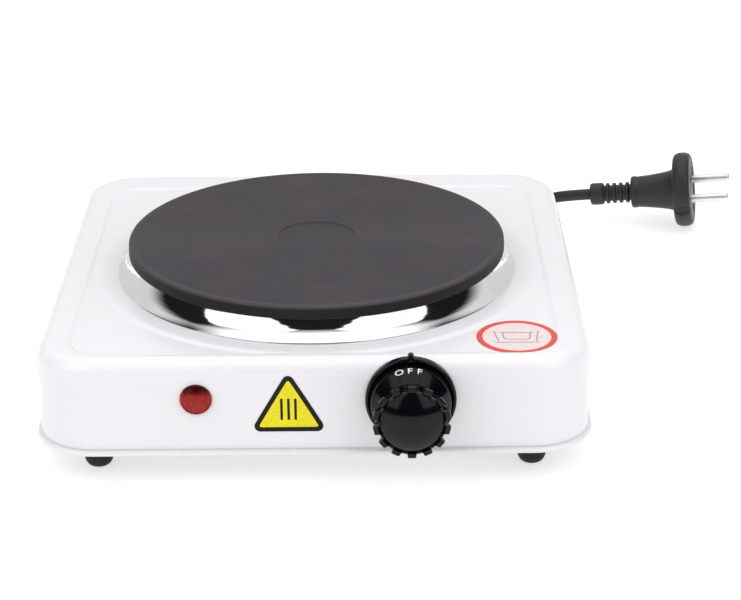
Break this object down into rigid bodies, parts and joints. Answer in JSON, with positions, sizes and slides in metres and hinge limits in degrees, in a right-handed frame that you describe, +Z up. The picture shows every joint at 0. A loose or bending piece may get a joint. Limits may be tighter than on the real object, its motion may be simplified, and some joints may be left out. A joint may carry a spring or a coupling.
{
  "type": "hot plate burner",
  "caption": "Single electric hot plate: white pressed steel body, ringed cast-iron plate in a bright trim ring, thermostat knob, red pilot lamp and mains lead with a round two-pin plug.",
  "frame": {"origin": "on the table, under the middle of the appliance without its mains lead (housing and knob together)", "axes": "+Z up, -Y towards the front wall with lamp and knob, +X to the right as seen from the front"},
  "size_m": [0.3627, 0.4154, 0.0757],
  "materials": {
    "white_enamel": "glossy white enamel on pressed steel",
    "base_steel": "thin grey coating on sheet steel",
    "zinc_steel": "bright zinc plated steel",
    "foot_rubber": "matt black moulded rubber",
    "cast_iron": "dark heat-proof coat over turned cast iron",
    "heating_wire": "oxidised resistance wire",
    "white_ceramic": "unglazed off-white ceramic",
    "mineral_board": "pressed mineral fibre board",
    "polished_steel": "bright polished stainless steel",
    "knob_black": "glossy black heat-proof plastic",
    "brass_parts": "plain turned and stamped brass",
    "red_lens": "clear deep red faceted plastic",
    "bulb_glass": "small clear glass bulb",
    "holder_plastic": "off-white moulded plastic",
    "lead_pvc": "satin black flexible sheath",
    "wire_sleeve": "woven glass-fibre sleeve",
    "plug_pin_metal": "nickel plated brass",
    "yellow_label": "printed yellow label with a dark border",
    "white_label": "printed white label with a red ring"
  },
  "bodies": {
    "housing": {"housing_shell": "white_enamel", "base_plate": "base_steel", "base_screws": "zinc_steel", "base_screw_blocks": "base_steel", "foot_front_left": "foot_rubber", "foot_front_right": "foot_rubber", "foot_rear_left": "foot_rubber", "foot_rear_right": "foot_rubber", "foot_screws": "zinc_steel", "foot_nuts": "zinc_steel", "cooking_plate": "cast_iron", "plate_stud": "zinc_steel", "heating_coils": "heating_wire", "ceramic_fill": "white_ceramic", "element_pins": "zinc_steel", "insulation_disc": "mineral_board", "heat_shield_pan": "zinc_steel", "ceramic_beads": "white_ceramic", "trim_ring": "polished_steel", "clamp_bridge": "zinc_steel", "stud_spacer": "zinc_steel", "stud_washer": "zinc_steel", "stud_nut": "zinc_steel", "dial_bezel": "knob_black", "thermostat_bracket": "zinc_steel", "spindle_bush": "brass_parts", "stack_spacers": "white_ceramic", "stack_rivet": "brass_parts", "fixed_leaves": "brass_parts", "bimetal_strip": "zinc_steel", "fixed_contact": "brass_parts", "lamp_lens": "red_lens", "neon_bulb": "bulb_glass", "lamp_holder": "holder_plastic", "lamp_clip_ring": "zinc_steel", "terminal_block": "white_ceramic", "terminal_screws": "brass_parts", "strain_relief": "lead_pvc", "lead_inner_end": "lead_pvc", "lead_clamp_strap": "zinc_steel", "lead_clamp_post": "holder_plastic", "lead_clamp_screws": "zinc_steel", "lead_cores": "wire_sleeve", "element_wires": "wire_sleeve", "switch_feed_wire": "wire_sleeve", "lamp_wires": "wire_sleeve", "mains_cord_run": "lead_pvc", "mains_cord_tail": "lead_pvc", "mains_cord_coil": "lead_pvc", "plug_relief": "lead_pvc", "plug_body": "lead_pvc", "plug_pins": "plug_pin_metal", "front_label": "yellow_label", "round_label": "white_label"},
    "knob": {"knob_dial": "knob_black", "knob_grip": "knob_black", "knob_cap": "knob_black", "thermostat_spindle": "zinc_steel"},
    "contact_arm": {"moving_leaf": "brass_parts", "moving_contact": "brass_parts"}
  },
  "joints": [
    {"name": "knob_turn", "type": "hinge", "parent": "housing", "child": "knob", "pos_m": [0.0433, -0.1108, 0.042], "axis": [0, 1, 0], "range_deg": [0, 270]},
    {"name": "contact_tilt", "type": "hinge", "parent": "housing", "child": "contact_arm", "pos_m": [0.0573, -0.1006, 0.042], "axis": [0, 0, -1], "range_deg": [0, 2.6]}
  ],
  "couplings": [
    {"joint": "contact_tilt", "follows": "knob_turn", "ratio": 0.009259}
  ]
}
